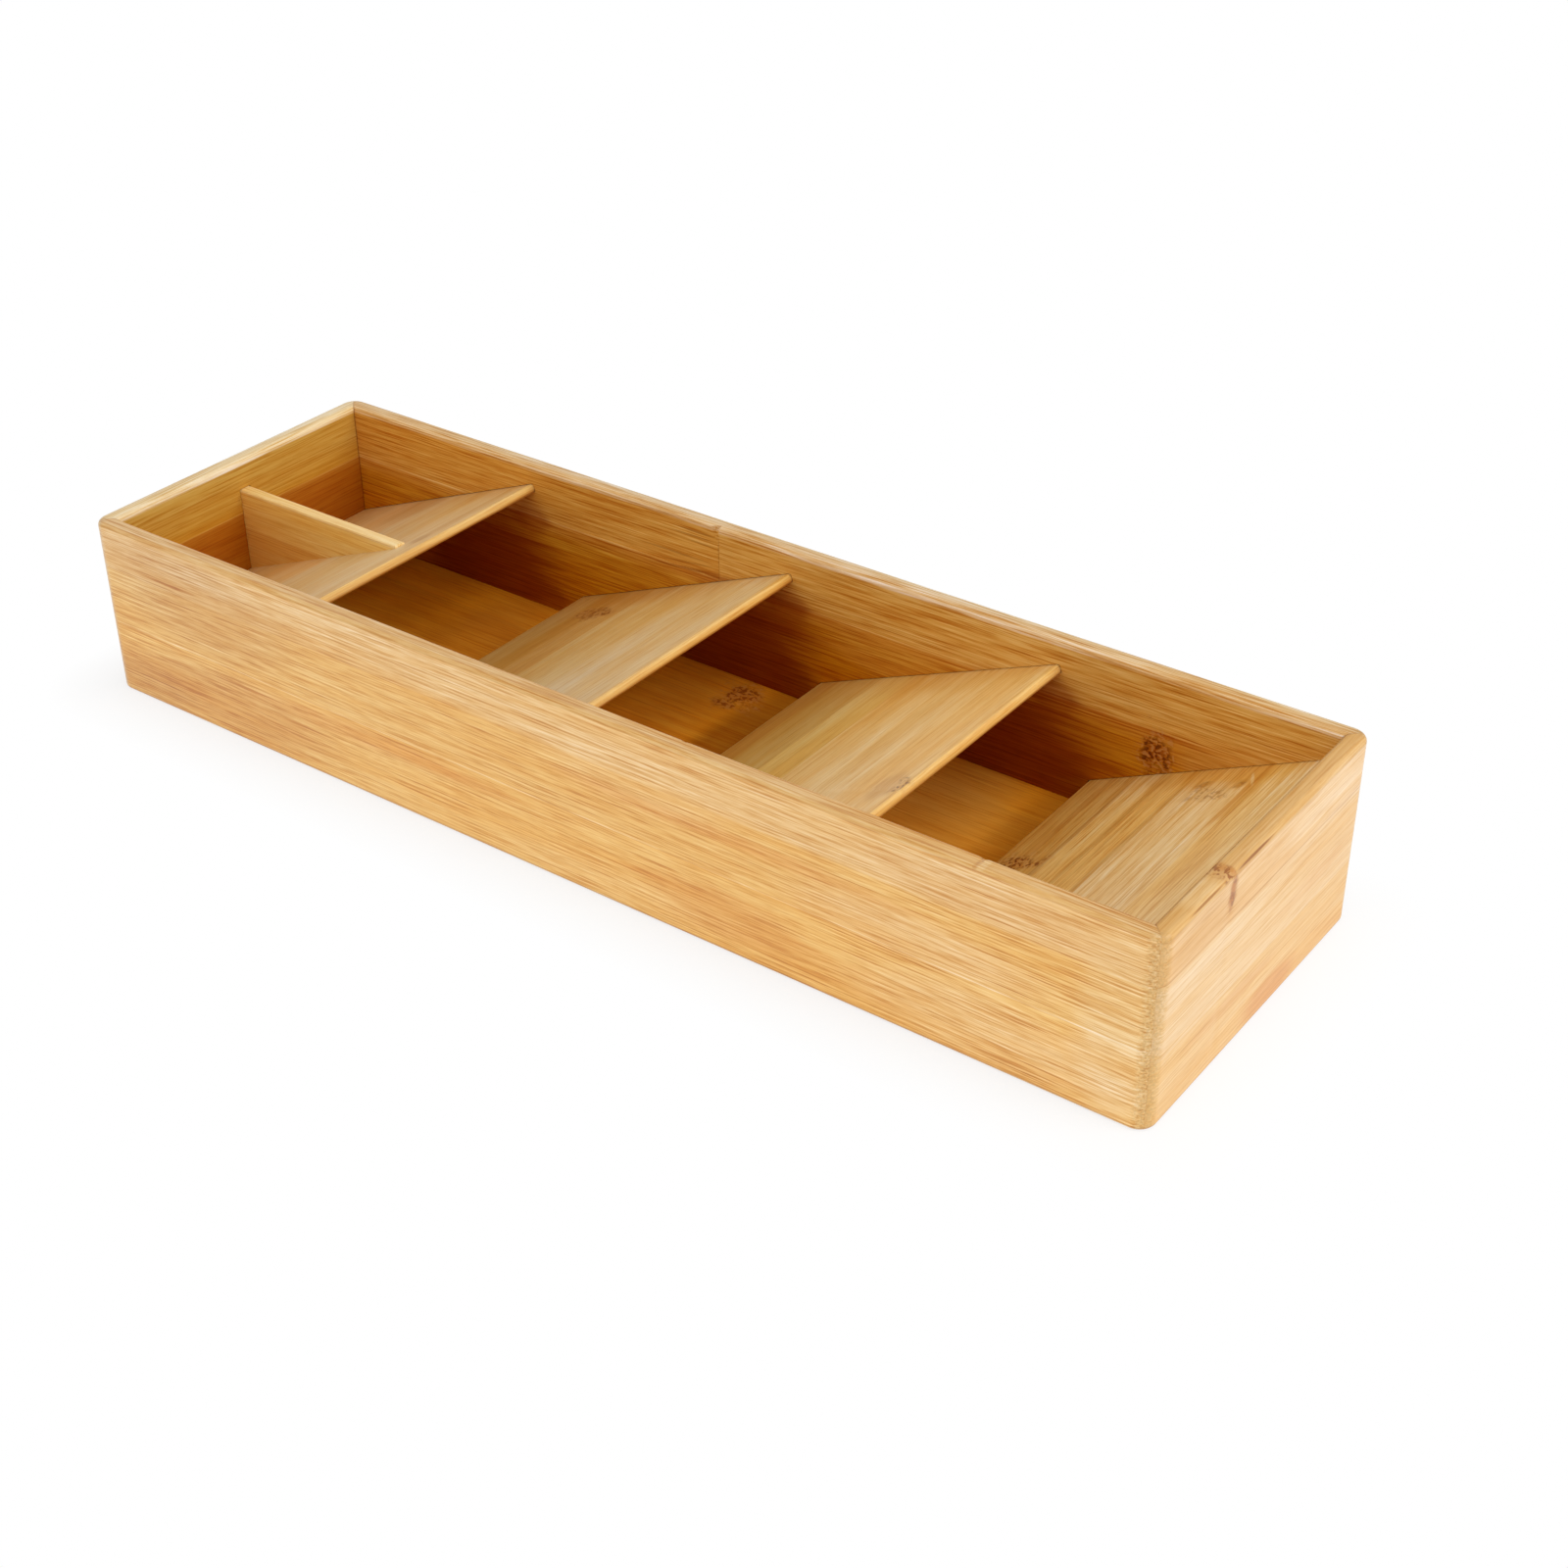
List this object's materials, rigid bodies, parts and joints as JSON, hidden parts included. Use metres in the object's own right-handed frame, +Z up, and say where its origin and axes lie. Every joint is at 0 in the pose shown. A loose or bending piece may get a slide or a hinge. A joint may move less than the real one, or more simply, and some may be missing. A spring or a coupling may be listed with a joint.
{
  "type": "cutlery tray",
  "caption": "Long narrow bamboo drawer tray with slanted ramps that carry stacked cutlery, and small pockets at one end.",
  "frame": {"origin": "middle of the footprint, on the surface that the tray stands on", "axes": "+X along the tray towards the end that the ramps climb to, +Y to the back wall, +Z up"},
  "size_m": [0.4, 0.122, 0.063],
  "materials": {
    "bamboo_walls": "clear satin lacquer",
    "bamboo_ramps": "clear satin lacquer",
    "bamboo_base": "clear satin lacquer",
    "bamboo_divider": "clear satin lacquer"
  },
  "bodies": {
    "root": {"front_wall": "bamboo_walls", "back_wall": "bamboo_walls", "left_end_wall": "bamboo_walls", "right_end_wall": "bamboo_walls", "pocket_ramp": "bamboo_ramps", "left_bay_ramp": "bamboo_ramps", "middle_bay_ramp": "bamboo_ramps", "right_bay_ramp": "bamboo_ramps", "base_panel": "bamboo_base", "pocket_divider": "bamboo_divider"}
  },
  "joints": []
}
